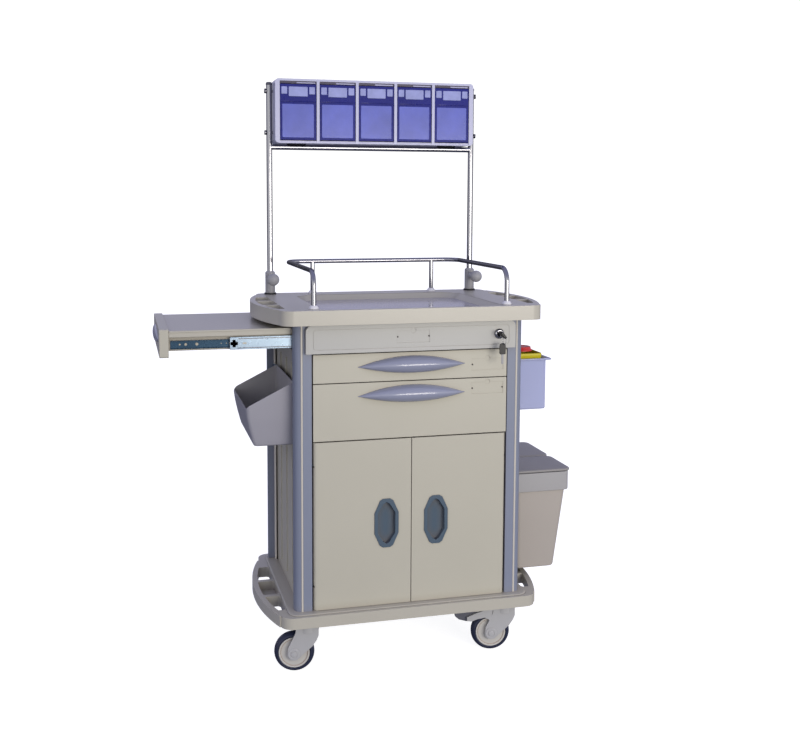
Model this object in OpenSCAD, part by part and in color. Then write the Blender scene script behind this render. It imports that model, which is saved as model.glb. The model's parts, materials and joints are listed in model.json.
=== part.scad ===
// Mobile anaesthesia and medication trolley, in millimetres, +Z up.
// Cabinet coordinates: X to the right, Y towards the back, Z up, with zero at the
// middle of the cabinet, on the face of the doors and on the floor.
// The object's own origin is the middle of its overall box, on the floor.

/* [Cabinet] */
// Width over the outer faces of the rear columns
cabinet_w = 606; // [604:1:610]
// Depth from the door face to the back of the rear columns
cabinet_d = 426; // [420:1:430]
// Width of a rear column, which also guides a post of the rack
rear_column_w = 52; // [51:1:54]
// Width of a front column
front_column_w = 42; // [40:1:44]
// Depth of one corner column
column_d = 32; // [30:1:33]
// Radius of a rear column's outer corner
rear_column_r = 24; // [22:1:26]
// Radius of a front column's outer corner
front_column_r = 18; // [14:1:20]
// Width of each door and half the width of a drawer front
door_w = 247; // [240:1:248]
// Thickness of doors and drawer fronts
front_t = 18; // [16:1:20]

/* [Heights] */
// Underside of the base tray
base_bottom = 129; // [128:1:130]
// Top of the base tray
base_top = 157; // [155:1:158]
// Top edge of the doors
door_top = 579; // [578:1:580]
// Top edge of the deep drawer
deep_top = 722; // [720:1:723]
// Top edge of the shallow drawer
shallow_top = 794; // [793:1:795]
// Top edge of the fixed fascia
fascia_top = 866; // [862:1:870]
// Lower edge of the top tray's rim
tray_bottom = 870; // [869:1:876]
// Upper edge of the top tray's rim
tray_top = 906; // [904:1:912]

/* [Top and base trays] */
// Half the width over the side wings
wing_reach = 370; // [366:1:376]
// Radius of each wing's outer curve, seen from above
wing_r = 550; // [520:5:620]
// How far the top tray stands in front of the doors
tray_front = 41; // [38:1:44]
// How far the base tray stands in front of the doors
base_front = 28; // [24:1:32]
// Depth of the widest point of each wing
wing_y = 195; // [180:5:210]
// Depth at which both trays end
tray_back = 435; // [433:1:440]
// Wall thickness of the moulded trays
tray_wall = 5; // [4:0.5:6]
// Depth of the recess in the worktop
recess_depth = 16; // [12:1:18]

/* [Drawers, doors and side shelf] */
// Length of a drawer handle
handle_l = 275; // [240:5:290]
// How far the side shelf stands out of the cabinet
shelf_out = 281; // [240:1:290]
// Depth of the side shelf
shelf_d = 352; // [340:2:354]
// Radius of the door pivot pins
hinge_pin_r = 3; // [2.5:0.5:3.5]
// Running clearance on every pin, stem and shaft
fit_gap = 0.05; // [0.03:0.01:0.08]

/* [Rails and overhead rack] */
// Diameter of the guard rail tube
rail_d = 12; // [10:1:14]
// Height of the guard rail's middle line
rail_z = 996; // [970:2:1000]
// Diameter of the two posts
post_d = 16; // [14:1:18]
// Top of the two posts
post_top = 1482; // [1470:1:1486]
// Underside of the tilt-bin housing
housing_bottom = 1319; // [1305:1:1325]
// Height of the tilt-bin housing
housing_h = 172; // [170:1:180]
// Number of tilt bins
bin_count = 5; // [5:1:5]

/* [Casters] */
// Wheel diameter
wheel_d = 100; // [98:1:102]
// Width of the tyre
wheel_w = 30; // [26:1:32]
// Trail of the axle behind the swivel axis
caster_trail = 34; // [30:1:36]
// Distance of the swivel axes from the middle of the cabinet
caster_x = 258; // [250:1:262]

/* [Side bins] */
// Outer reach of the waste-bin lids
waste_reach = 477; // [460:1:485]
// Length of the utility bin
utility_l = 275; // [250:5:290]

/* [Hidden] */
$fn = 48;

// Colours
cream = [0.78, 0.75, 0.68];
slate = [0.50, 0.53, 0.62];
pale_grey = [0.72, 0.72, 0.71];
steel = [0.62, 0.63, 0.65];
dark_grey = [0.38, 0.40, 0.44];
bin_blue = [0.30, 0.34, 0.72];

// Cabinet
half_w = cabinet_w / 2;
inner_x = half_w - rear_column_w;
front_half_w = inner_x + front_column_w;
column_y = 2;
column_back = column_y + column_d;
rear_column_y = cabinet_d - column_d;
column_top = tray_bottom + 6;
recess_x = 232;
pocket_x = 312;
tray_half = 330;
recess_back = 360;
panel_x = half_w - 25;
panel_t = 4;
panel_rib_t = 3;
hook_t = 6;
deck_t = 5;
bay_floor_z = 790;
cupboard_top_z = 570;

// Overhead rack
post_x = 291;
post_y = 406;
post_bottom = 640;
housing_front = 360;
housing_d = 88;
housing_w = 562;
cell_w = 101;
divider_w = 8;
cross_rail_z = housing_bottom - post_d / 2 - 1;
pivot_y = housing_front + 7;
pivot_z = housing_bottom + 14;
clamp_top = tray_top + 64;
knob_y = 348;
knob_z = tray_top + 44;

// Side shelf
cap_t = 22;
shelf_y0 = column_back + 4;
shelf_mid_y = (column_back + rear_column_y) / 2;
shelf_top = 858;
shelf_board_t = 16;
slide_z = 824;
cap_inner_x = -half_w - shelf_out - 2;
cap_outer_x = cap_inner_x - cap_t;
grip_t = 9;

// Lock
lock_x = 223;
lock_z = 834;
key_front = -44;

// Casters
caster_y_front = 26;
caster_y_rear = 388;
caster_turn = -12;
axle_r = 5;
stem_r = 6;
brake_x = -88;
brake_z = 88;
brake_pin_r = 3;
fork_top = base_bottom - 3;

// Middle of the overall box, in cabinet coordinates
left_reach = cap_outer_x - grip_t;
front_reach = key_front;
back_reach = housing_front + housing_d;
shift_x = -(left_reach + waste_reach) / 2;
shift_y = -(front_reach + back_reach) / 2;

module placed() {
    translate([shift_x, shift_y, 0]) children();
}

// A box between two corners
module block(low, high) {
    translate(low) cube(high - low);
}

// A cylinder along X from x0 to x1
module rod_x(x0, x1, y, z, r) {
    translate([x0, y, z]) rotate([0, 90, 0]) cylinder(h = x1 - x0, r = r);
}

// A cylinder along Y from y0 to y1
module rod_y(x, y0, y1, z, r) {
    translate([x, y0, z]) rotate([-90, 0, 0]) cylinder(h = y1 - y0, r = r);
}

// A cylinder along Z from z0 to z1
module rod_z(x, y, z0, z1, r) {
    translate([x, y, z0]) cylinder(h = z1 - z0, r = r);
}

// A rectangle with round corners between two corners
module round_rect(low, high, r) {
    translate([low[0] + r, low[1]]) square([high[0] - low[0] - 2 * r, high[1] - low[1]]);
    translate([low[0], low[1] + r]) square([high[0] - low[0], high[1] - low[1] - 2 * r]);
    for (x = [low[0] + r, high[0] - r], y = [low[1] + r, high[1] - r])
        translate([x, y]) circle(r = r);
}

// A copy on the left and a copy on the right
module both_sides() {
    children();
    mirror([1, 0, 0]) children();
}

// ---------------------------------------------------------------- trays

// Outline of a tray with its two curved wings, moved inwards by inset
module tray_outline(front, inset) {
    wing_y0 = -front + 24;
    wing_y1 = 385;
    round_rect([-tray_half + inset, -front + inset], [tray_half - inset, tray_back - inset], 30);
    both_sides()
        intersection() {
            translate([wing_reach - wing_r, wing_y]) circle(r = wing_r - inset, $fn = 96);
            round_rect([0, wing_y0 + inset], [wing_reach, wing_y1 - inset], 14);
        }
}

// One of the three pockets of the right wing, moved outwards by grow
module pocket_outline(front, i, grow) {
    pocket_l = 90;
    y0 = -front + 60 + i * (pocket_l + 14);
    intersection() {
        tray_outline(front, 14 - grow);
        round_rect([pocket_x - grow, y0 - grow], [wing_reach, y0 + pocket_l + grow], 8);
    }
}

module base_tray() {
    h = base_top - base_bottom;
    color(cream) placed() translate([0, 0, base_bottom]) difference() {
        linear_extrude(h) tray_outline(base_front, 0);
        difference() {
            translate([0, 0, -1]) linear_extrude(h - tray_wall + 1)
                tray_outline(base_front, tray_wall);
            for (sx = [-1, 1], y = [caster_y_front, caster_y_rear])
                rod_z(sx * caster_x, y, -2, h, 24);
            both_sides() for (i = [0 : 2])
                translate([0, 0, -2]) linear_extrude(h) pocket_outline(base_front, i, 4);
        }
        // the middle pocket of each wing has a floor
        both_sides() for (i = [0 : 2])
            translate([0, 0, i == 1 ? tray_wall : -1]) linear_extrude(h + 2)
                pocket_outline(base_front, i, 0);
        for (sx = [-1, 1], y = [caster_y_front, caster_y_rear])
            rod_z(sx * caster_x, y, -3, h - tray_wall, stem_r);
    }
}

// Outline of the worktop recess, cut off at the rear corners for the posts
module recess_outline(grow) {
    difference() {
        round_rect([-recess_x - grow, -22 - grow], [recess_x + grow, recess_back + grow], 16);
        both_sides() translate([recess_x + grow, recess_back + grow]) rotate(45)
            square([60, 60], center = true);
    }
}

module top_tray() {
    h = tray_top - tray_bottom;
    floor_z = h - recess_depth - tray_wall;
    pocket_floor = 10;
    color(cream) placed() translate([0, 0, tray_bottom]) difference() {
        linear_extrude(h) tray_outline(tray_front, 0);
        difference() {
            translate([0, 0, -1]) linear_extrude(h - tray_wall + 1)
                tray_outline(tray_front, tray_wall);
            translate([0, 0, floor_z]) linear_extrude(h) recess_outline(tray_wall);
            both_sides() for (i = [0 : 2])
                translate([0, 0, pocket_floor - 4]) linear_extrude(h)
                    pocket_outline(tray_front, i, 4);
            both_sides() {
                translate([0, 0, column_top - tray_bottom]) block([inner_x, 2, 0], [half_w, 34, h]);
                translate([0, 0, column_top - tray_bottom])
                    block([inner_x, rear_column_y, 0], [half_w + 6, cabinet_d, h]);
            }
        }
        translate([0, 0, h - recess_depth]) linear_extrude(recess_depth + 1) recess_outline(0);
        both_sides() for (i = [0 : 2])
            translate([0, 0, pocket_floor]) linear_extrude(h) pocket_outline(tray_front, i, 0);
        for (sx = [-1, 1])
            rod_z(sx * post_x, post_y, -1, h + 1, post_d / 2 + fit_gap);
    }
}

module worktop_mat() {
    color([0.62, 0.61, 0.68]) placed()
        translate([0, 0, tray_top - recess_depth]) linear_extrude(2) recess_outline(-3);
}

// ---------------------------------------------------------------- cabinet

// Outline of a right-hand column, w wide with an outer corner of radius r
module column_outline(w, outer_r, inset) {
    r = outer_r - inset;
    intersection() {
        translate([inset, inset]) square([w - 2 * inset, column_d - 2 * inset]);
        union() {
            square([w - inset - r, column_d]);
            translate([0, inset + r]) square([w, column_d]);
            translate([w - inset - r, inset + r]) circle(r = r);
        }
    }
}

// A hollow right-hand column with a groove for its trim strip
module column(w, r) {
    wall = 3;
    groove_x = w - r - 2;
    translate([inner_x, column_y, base_top]) linear_extrude(column_top - base_top)
        difference() {
            column_outline(w, r, 0);
            column_outline(w, r, wall);
            translate([groove_x, -1]) square([5, 2]);
        }
}

module corner_columns() {
    color(slate) placed() both_sides() {
        column(front_column_w, front_column_r);
        translate([0, cabinet_d + column_y, 0]) mirror([0, 1, 0])
            column(rear_column_w, rear_column_r);
    }
}

module side_panels() {
    color(cream) placed() for (side = [-1, 1]) {
        top = side < 0 ? bay_floor_z : column_top;
        x0 = side < 0 ? -panel_x : panel_x - panel_t;
        block([x0, column_back, base_top], [x0 + panel_t, rear_column_y, top]);
        for (i = [1 : 3]) {
            y = column_back + i * (rear_column_y - column_back) / 4;
            block([side < 0 ? x0 - panel_rib_t : x0 + panel_t, y - 5, base_top + 30],
                  [side < 0 ? x0 : x0 + panel_t + panel_rib_t, y + 5, top - 30]);
        }
    }
}

module back_panel() {
    color(cream) placed() difference() {
        block([-inner_x, 404, base_top], [inner_x, 408, column_top]);
        for (i = [-3 : 3])
            block([i * 60 - 20, 400, 640], [i * 60 + 20, 410, 646]);
    }
}

module cabinet_decks() {
    color(pale_grey) placed() for (z = [base_top, cupboard_top_z, bay_floor_z])
        block([-inner_x, 20, z], [inner_x, 404, z + deck_t]);
}

module inner_shelf() {
    color(pale_grey) placed() {
        difference() {
            block([-inner_x + 3, 40, 355], [inner_x - 3, 400, 373]);
            block([-inner_x + 6, 43, 350], [inner_x - 6, 397, 370]);
        }
        for (sx = [-1, 1], y = [60, 380])
            rod_x(sx > 0 ? inner_x - 3 : -panel_x + panel_t,
                  sx > 0 ? panel_x - panel_t : -inner_x + 3, y, 362, 4);
    }
}

module fascia() {
    fascia_w = 534;
    low_z = shallow_top + 4;
    color(pale_grey) placed() difference() {
        translate([0, column_y, 0]) rotate([90, 0, 0]) linear_extrude(12) {
            round_rect([-fascia_w / 2, low_z], [fascia_w / 2, fascia_top], 14);
            translate([-fascia_w / 2, low_z]) square([fascia_w, 20]);
        }
        // raised border line
        translate([0, -9.2, 0]) rotate([90, 0, 0]) linear_extrude(2) difference() {
            round_rect([-250, low_z + 9], [250, fascia_top - 9], 8);
            round_rect([-248.5, low_z + 10.5], [248.5, fascia_top - 10.5], 6.5);
        }
        label_pocket(0, lock_z, -10);
        rod_y(lock_x, -12, 4, lock_z, 11);
        // hollow back
        block([-240, -6, low_z + 4], [lock_x - 20, 4, fascia_top - 4]);
    }
}

// Shallow label pocket with a thumb notch and two screw recesses, cut into a front at y
module label_pocket(x, z, y) {
    w = 84;
    h = 30;
    block([x - w / 2, y - 1, z - h / 2], [x + w / 2, y + 1, z + h / 2]);
    rod_y(x, y - 1, y + 1.6, z + h / 2, 7);
    for (sx = [-1, 1])
        rod_y(x + sx * (w / 2 - 2), y - 1, y + 3, z, 1.5);
}

// ---------------------------------------------------------------- rails and rack

// A quarter bend of the guard rail in the XY plane, around the origin
module rail_bend(r) {
    rotate_extrude(angle = 90) translate([r, 0]) circle(d = rail_d);
}

module guard_rail() {
    x = 246;
    y_back = 400;
    y_front = 0;
    corner_r = 42;
    drop_r = 34;
    color(steel) placed() {
        rod_x(-x + corner_r, x - corner_r, y_back, rail_z, rail_d / 2);
        both_sides() {
            translate([x - corner_r, y_back - corner_r, rail_z]) rail_bend(corner_r);
            rod_y(x, y_front + drop_r, y_back - corner_r, rail_z, rail_d / 2);
            translate([x, y_front + drop_r, rail_z - drop_r]) rotate([90, 0, -90])
                rail_bend(drop_r);
            rod_z(x, y_front, tray_top, rail_z - drop_r, rail_d / 2);
            rod_z(173, y_back, tray_top, rail_z - 2, rail_d / 2);
            for (p = [[x, y_front], [173, y_back]])
                translate([p[0], p[1], tray_top]) rotate_extrude()
                    polygon([[0, 0], [11, 0], [10, 4], [rail_d / 2 + 1, 8], [0, 8]]);
        }
    }
}

module post_clamps() {
    bore = post_d / 2 + fit_gap;
    color(pale_grey) placed() for (sx = [-1, 1]) translate([sx * post_x, post_y, 0])
        difference() {
            union() {
                rod_z(0, 0, tray_top, clamp_top - 4, 13.5);
                translate([0, 0, clamp_top - 4]) cylinder(h = 4, r1 = 13.5, r2 = 10);
                rod_y(0, knob_y + 21 - post_y, 0, knob_z, 9);
                rod_z(0, 0, tray_top, tray_top + 4, 16);
            }
            rod_z(0, 0, tray_top - 1, clamp_top + 1, bore);
            rod_y(0, knob_y + 19 - post_y, -8, knob_z, 4 + fit_gap);
        }
}

module knob(sx) {
    stud_r = 4;
    color(pale_grey) placed() translate([sx * post_x, 0, 0]) {
        translate([0, knob_y, knob_z]) sphere(r = 16.5);
        rod_y(0, knob_y + 12, knob_y + 20, knob_z, 8);
        rod_y(0, knob_y + 19, post_y - post_d / 2 - 0.5, knob_z, stud_r);
    }
}

module rack_frame() {
    r = post_d / 2;
    color(steel) placed() {
        rod_x(-post_x, post_x, post_y, cross_rail_z, r - 0.5);
        for (sx = [-1, 1]) {
            rod_z(sx * post_x, post_y, post_bottom, post_top, r);
            // bolts through the post into the housing, and up through the cross rail
            for (z = [housing_bottom + 30, housing_bottom + 142])
                rod_x(sx > 0 ? housing_w / 2 : -post_x - r - 4,
                      sx > 0 ? post_x + r + 4 : -housing_w / 2, post_y, z, 4);
            rod_z(sx * 226, post_y, cross_rail_z, housing_bottom, 4);
        }
    }
}

function cell_x(i) = (i - (bin_count + 1) / 2) * (cell_w + divider_w);

module bin_housing() {
    wall = 4;
    side = (housing_w - bin_count * cell_w - (bin_count - 1) * divider_w) / 2;
    top = housing_bottom + housing_h;
    color([0.78, 0.79, 0.86]) placed() difference() {
        translate([0, housing_front, 0]) rotate([-90, 0, 0]) linear_extrude(housing_d)
            round_rect([-housing_w / 2, -top], [housing_w / 2, -housing_bottom], 10);
        for (i = [1 : bin_count]) {
            x = cell_x(i);
            block([x - cell_w / 2, housing_front - 1, housing_bottom + 3],
                  [x + cell_w / 2, housing_front + housing_d - wall, top - wall - 2]);
            rod_x(x - cell_w / 2 - 3.5, x + cell_w / 2 + 3.5, pivot_y, pivot_z, 2.5 + fit_gap);
        }
    }
}

// Wedge of a tilt bin seen from the side, about its pivot, with walls moved inwards by inset
module tilt_wedge(inset) {
    lean = 25;
    front = -5 + inset;
    foot = 9 - inset / cos(lean);
    polygon([[front, -5 + inset], [foot, -5 + inset],
             [foot + 200 * sin(lean), 200 * cos(lean) - 5], [front, 210]]);
}

module tilt_bin(i) {
    wall = 2.5;
    w = cell_w - 2;
    reach = 144;
    color(bin_blue) placed() translate([cell_x(i), pivot_y, pivot_z]) {
        difference() {
            rotate([90, 0, 90]) translate([0, 0, -w / 2]) linear_extrude(w) intersection() {
                circle(r = reach, $fn = 96);
                tilt_wedge(0);
            }
            rotate([90, 0, 90]) translate([0, 0, -w / 2 + wall]) linear_extrude(w - 2 * wall)
                tilt_wedge(wall);
        }
        // finger tab and pivot stubs
        block([-20, -6.5, 114], [20, -4, 128]);
        rod_x(-w / 2 - 3.5, -w / 2 + 1, 0, 0, 2.5);
        rod_x(w / 2 - 1, w / 2 + 3.5, 0, 0, 2.5);
    }
}

// ---------------------------------------------------------------- drawers

module slide_cases() {
    wall = 1.5;
    half_h = 16;
    color(steel) placed() {
        // drawer cases, open towards the drawer
        both_sides() for (z = [752, 640]) difference() {
            block([236, 21, z - half_h], [inner_x, 404, z + half_h]);
            block([235, 20, z - half_h + wall], [inner_x - wall, 405, z + half_h - wall]);
        }
        // cases of the side shelf, open towards the shelf
        for (side = [-1, 1]) translate([0, shelf_mid_y, 0]) scale([1, side, 1])
            translate([0, -shelf_mid_y, 0]) difference() {
                block([-front_half_w + 3, column_back, slide_z - 17], [inner_x, column_back + 13, slide_z + 17]);
                block([-front_half_w + 2, column_back + 1.2, slide_z - 15.8],
                      [inner_x + 1, column_back + 14, slide_z + 15.8]);
            }
    }
}

// Open box of a drawer with a steel runner on each side
module drawer_box(z0, z1, runner_z) {
    wall = 3;
    half = 222;
    color(pale_grey) placed() {
        difference() {
            block([-half, front_t, z0], [half, 380, z1]);
            block([-half + wall, front_t + wall, z0 + wall], [half - wall, 380 - wall, z1 + 1]);
        }
        both_sides() difference() {
            block([half, 24, runner_z - 13], [half + 24, 378, runner_z + 13]);
            block([half + 1.5, 23, runner_z - 11.5], [half + 25, 379, runner_z + 11.5]);
        }
    }
}

module drawer_front(z0, z1, label_z) {
    color(cream) placed() difference() {
        block([-door_w - 1, 0, z0], [door_w + 1, front_t, z1]);
        label_pocket(197, label_z, 0);
    }
}

// Boat-shaped pull, hollow underneath, with its tips at height z
module drawer_handle(z) {
    half = handle_l / 2;
    rise = 25;
    fall = 19;
    proud = 28;
    wall = 4;
    r_top = (half * half + rise * rise) / (2 * rise);
    r_low = (half * half + fall * fall) / (2 * fall);
    r_plan = (half * half + proud * proud) / (2 * proud);
    color(slate) placed() translate([0, 0, z]) difference() {
        intersection() {
            rod_y(0, -proud, 0, rise - r_top, r_top, $fn = 96);
            rod_y(0, -proud, 0, r_low - fall, r_low, $fn = 96);
            rod_z(0, r_plan - proud, -fall, rise, r_plan, $fn = 96);
        }
        intersection() {
            rod_y(0, -proud, 1, rise - wall - r_top, r_top, $fn = 96);
            block([-half + 26, -proud, -fall - 1], [half - 26, -3, rise]);
            rod_z(0, r_plan - proud + wall, -fall - 1, rise, r_plan, $fn = 96);
        }
    }
}

// ---------------------------------------------------------------- side shelf

module shelf_board() {
    x1 = cap_inner_x + 500;
    color(cream) placed() {
        block([cap_inner_x, shelf_y0, shelf_top - shelf_board_t],
              [x1, shelf_y0 + shelf_d, shelf_top]);
        for (side = [-1, 1]) translate([0, shelf_mid_y, 0]) scale([1, side, 1])
            translate([0, -shelf_mid_y, 0])
                block([cap_inner_x, column_back + 14, slide_z - 15], [x1, column_back + 19, shelf_top - 14]);
    }
}

module shelf_end_cap() {
    color(cream) placed() difference() {
        translate([cap_outer_x, 0, 0]) rotate([90, 0, 90]) linear_extrude(cap_t)
            round_rect([shelf_y0 - 2, 794], [shelf_y0 + shelf_d + 2, shelf_top + 4], 4);
        block([cap_outer_x + 4, shelf_y0 + 4, 790], [cap_inner_x - 4, shelf_y0 + shelf_d - 4, 836]);
    }
}

module shelf_grip() {
    half = 130;
    rise = 20;
    r_side = (half * half + rise * rise) / (2 * rise);
    r_plan = (half * half + grip_t * grip_t) / (2 * grip_t);
    color(slate) placed() translate([cap_outer_x, shelf_mid_y, 832]) difference() {
        intersection() {
            rod_x(-grip_t, 0, 0, rise - r_side, r_side, $fn = 96);
            rod_x(-grip_t, 0, 0, r_side - rise, r_side, $fn = 96);
            rod_z(r_plan - grip_t, 0, -rise, rise, r_plan, $fn = 96);
        }
        block([-grip_t + 3, -half + 30, -rise - 1], [-2, half - 30, rise - 10]);
    }
}

// One pair of channels for the side shelf, open towards the front column on each side
module shelf_channel(x0, x1, y0, y1, half_h, web_at_front) {
    wall = 1.2;
    for (side = [-1, 1]) translate([0, shelf_mid_y, 0]) scale([1, side, 1])
        translate([0, -shelf_mid_y, 0]) difference() {
            block([x0, y0, slide_z - half_h], [x1, y1, slide_z + half_h]);
            block([x0 - 1, web_at_front ? y0 + wall : y0 - 1, slide_z - half_h + wall],
                  [x1 + 1, web_at_front ? y1 + 1 : y1 - wall, slide_z + half_h - wall]);
        }
}

module shelf_runners() {
    color(dark_grey) placed()
        shelf_channel(cap_inner_x + 4, cap_inner_x + 384, column_back + 4, column_back + 14, 10, false);
}

module shelf_middle_slides() {
    mid_x0 = cap_inner_x + 4 + shelf_out / 2;
    color(steel) placed()
        shelf_channel(mid_x0, mid_x0 + 380, column_back + 1.9, column_back + 13, 15, true);
}

// ---------------------------------------------------------------- doors

door_bottom = base_top + 3;
hinge_x = 239;
hinge_y = 9;
hinge_zs = [220, 520];
leaf_r = 4;
door_handle_x = 64;
door_handle_z = 368;

// Outline of a recessed door handle, moved inwards by inset
module door_handle_outline(inset) {
    a = 31 - inset;
    b = 62 - inset;
    polygon([[-a, -26], [-a + 14, -b + 5], [-a + 22, -b], [a - 22, -b], [a - 14, -b + 5], [a, -26],
             [a, 26], [a - 14, b - 5], [a - 22, b], [-a + 22, b], [-a + 14, b - 5], [-a, 26]]);
}

// Right-hand door: its outer edge is round about the pivot
module door_panel() {
    h = door_top - door_bottom;
    difference() {
        union() {
            block([1, 0, door_bottom], [hinge_x, front_t, door_top]);
            rod_z(hinge_x, hinge_y, door_bottom, door_top, hinge_y);
        }
        // recessed back
        block([12, 13, door_bottom + 12], [220, front_t + 1, door_top - 12]);
        // seat of the handle cup
        translate([door_handle_x, 15, door_handle_z]) rotate([90, 0, 0]) linear_extrude(30)
            door_handle_outline(4);
        // slots, open to the back, and bores of the two hinges
        for (z = hinge_zs) {
            translate([hinge_x - leaf_r - 0.5, 2.4, z - 2.4]) cube([20, 20, 4.8]);
            rod_z(hinge_x, hinge_y, z - 16, z + 16, hinge_pin_r + fit_gap);
        }
    }
}

module door_left() {
    color(cream) placed() mirror([1, 0, 0]) door_panel();
}

module door_right() {
    color(cream) placed() door_panel();
}

module door_handle() {
    translate([door_handle_x, 0, door_handle_z]) difference() {
        union() {
            rotate([90, 0, 0]) linear_extrude(2) door_handle_outline(0);
            translate([0, 13, 0]) rotate([90, 0, 0]) linear_extrude(13) door_handle_outline(4.2);
        }
        translate([0, 11, 0]) rotate([90, 0, 0]) linear_extrude(20) door_handle_outline(9);
    }
}

module door_left_handle() {
    color([0.33, 0.42, 0.49]) placed() mirror([1, 0, 0]) door_handle();
}

module door_right_handle() {
    color([0.33, 0.42, 0.49]) placed() door_handle();
}

module door_hinges() {
    color(steel) placed() both_sides() for (z = hinge_zs) {
        block([hinge_x - leaf_r, hinge_y, z - 2], [hinge_x + leaf_r, front_t + 6.5, z + 2]);
        block([hinge_x - leaf_r, front_t + 2, z - 2], [inner_x, front_t + 6.5, z + 2]);
        rod_z(hinge_x, hinge_y, z - 2, z + 2, leaf_r);
        rod_z(hinge_x, hinge_y, z - 15, z + 15, hinge_pin_r);
    }
}

// ---------------------------------------------------------------- lock and keys

module lock_housing() {
    color(steel) placed() difference() {
        union() {
            rod_y(lock_x, -13, -10, lock_z, 12.5);
            rod_y(lock_x, -10, 12, lock_z, 10.8);
        }
        rod_y(lock_x, -14, 13, lock_z, 6 + fit_gap);
    }
}

module lock_plug() {
    cam_l = 44;
    color(steel) placed() {
        rod_y(lock_x, -14.5, 18.3, lock_z, 6);
        block([lock_x - cam_l, 18.3, lock_z - 6], [lock_x + 6, 19.8, lock_z + 6]);
    }
}

// The key in the lock; its bow leans down to the right
module front_key() {
    color([0.12, 0.12, 0.13]) placed()
        translate([lock_x, 0, lock_z]) rotate([0, -40, 0]) difference() {
            union() {
                block([-1.2, -25, -3], [1.2, -14.5, 3]);
                translate([-1.2, key_front, -9]) rotate([90, 0, 90]) linear_extrude(2.4)
                    round_rect([0, 0], [20, 18], 5);
            }
            rod_x(-2, 2, key_front + 5, -5, 2.5);
        }
}

// ---------------------------------------------------------------- side bins

// Cross-section of the utility bin, which hangs between the left columns
utility_x = panel_x + panel_rib_t + hook_t;
utility_reach = 405;
utility_floor = 566;
utility_lip = 658;
utility_y0 = 45;

module utility_section(inset) {
    polygon([
        [-utility_x - inset, utility_floor + inset],
        [-utility_reach + 20 + inset * 0.9, utility_floor + inset],
        [-utility_reach + inset, utility_lip],
        [-utility_reach + inset, utility_lip + 80],
        [-utility_x - inset, utility_lip + 80]
    ]);
}

module utility_bin() {
    wall = 3;
    mouth_slope = 29;
    color([0.57, 0.57, 0.59]) placed() difference() {
        translate([0, utility_y0 + utility_l, 0]) rotate([90, 0, 0]) linear_extrude(utility_l)
            utility_section(0);
        translate([0, utility_y0 + utility_l - wall, 0]) rotate([90, 0, 0])
            linear_extrude(utility_l - 2 * wall) utility_section(wall);
        // sloping mouth
        translate([-utility_reach, utility_y0 - 1, utility_lip]) rotate([0, -mouth_slope, 0])
            translate([-20, 0, 0]) cube([180, utility_l + 2, 120]);
    }
}

waste_x0 = half_w + 8;
waste_rail_z = 405;
sharps_rail_z = 700;

module side_brackets() {
    rail_h = 22;
    front_foot_y = 68;
    color(steel) placed() {
        // rail of the utility bin, between the left columns
        block([-utility_x, column_back, 690], [-utility_x + hook_t, rear_column_y, 715]);
        // rail of the waste bins and rail of the sharps holder, from the side panel to the rear column
        for (z = [waste_rail_z, sharps_rail_z]) {
            block([half_w, front_foot_y, z], [waste_x0, cabinet_d - 8, z + rail_h]);
            block([panel_x, front_foot_y, z], [half_w, front_foot_y + 8, z + rail_h]);
        }
    }
}

waste_ys = [96, 244];
waste_lens = [138, 156];
waste_floor = 175;
waste_collar_z = 389;
waste_rim_z = 440;

// Tapered open bins, each with a collar under its lid
module waste_bins() {
    wall = 3;
    color([0.69, 0.66, 0.61]) placed() for (i = [0, 1]) {
        y0 = waste_ys[i];
        y1 = y0 + waste_lens[i];
        difference() {
            waste_body(i, 0, waste_floor);
            waste_body(i, wall, waste_floor + wall);
        }
        difference() {
            block([waste_x0, y0, waste_collar_z], [waste_reach - 3, y1, waste_rim_z]);
            block([waste_x0 + 5, y0 + 5, waste_collar_z - 2],
                  [waste_reach - 8, y1 - 5, waste_rim_z + 1]);
        }
    }
}

module waste_body(i, inset, z0) {
    top_z = inset > 0 ? waste_rim_z : waste_collar_z + 12;
    y0 = waste_ys[i] + inset;
    y1 = waste_ys[i] + waste_lens[i] - inset;
    hull() {
        block([waste_x0 + 3 + inset, y0 + 3, top_z - 1], [waste_reach - 6 - inset, y1 - 3, top_z]);
        block([waste_x0 + 14 + inset, y0 + 14, z0], [waste_reach - 38 - inset, y1 - 14, z0 + 1]);
    }
}

module waste_lid(i) {
    y0 = waste_ys[i] - 1;
    y1 = waste_ys[i] + waste_lens[i] + 1;
    color([0.52, 0.51, 0.55]) placed() difference() {
        block([waste_x0 + 6, y0, waste_rim_z + 1], [waste_reach, y1, waste_rim_z + 9]);
        block([waste_x0 + 10, y0 + 4, waste_rim_z], [waste_reach - 4, y1 - 4, waste_rim_z + 6]);
    }
}

sharps_x0 = half_w + 8;
sharps_y0 = 110;
sharps_w = 95;
sharps_l = 120;
sharps_floor = 610;
sharps_rim = 748;
sharps_top = 760;
sharps_lid_hinge_x = sharps_x0 + 76;

module sharps_holder() {
    wall = 2.5;
    flange = 11;
    x1 = sharps_x0 + sharps_w;
    y1 = sharps_y0 + sharps_l;
    color([0.75, 0.77, 0.92]) placed() difference() {
        union() {
            block([sharps_x0, sharps_y0, sharps_floor], [x1, y1, sharps_rim]);
            block([sharps_x0, sharps_y0 - flange, sharps_rim - 5], [x1 + flange, y1 + flange, sharps_rim]);
        }
        block([sharps_x0 + wall, sharps_y0 + wall, sharps_floor + wall],
              [x1 - wall, y1 - wall, sharps_rim + 1]);
    }
}

// Outer box of the sharps container, moved inwards by inset
module sharps_box(inset, z0, z1) {
    block([sharps_x0 + 6 + inset, sharps_y0 + 6 + inset, z0],
          [sharps_x0 + sharps_w - 9 - inset, sharps_y0 + sharps_l - 6 - inset, z1]);
}

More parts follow.
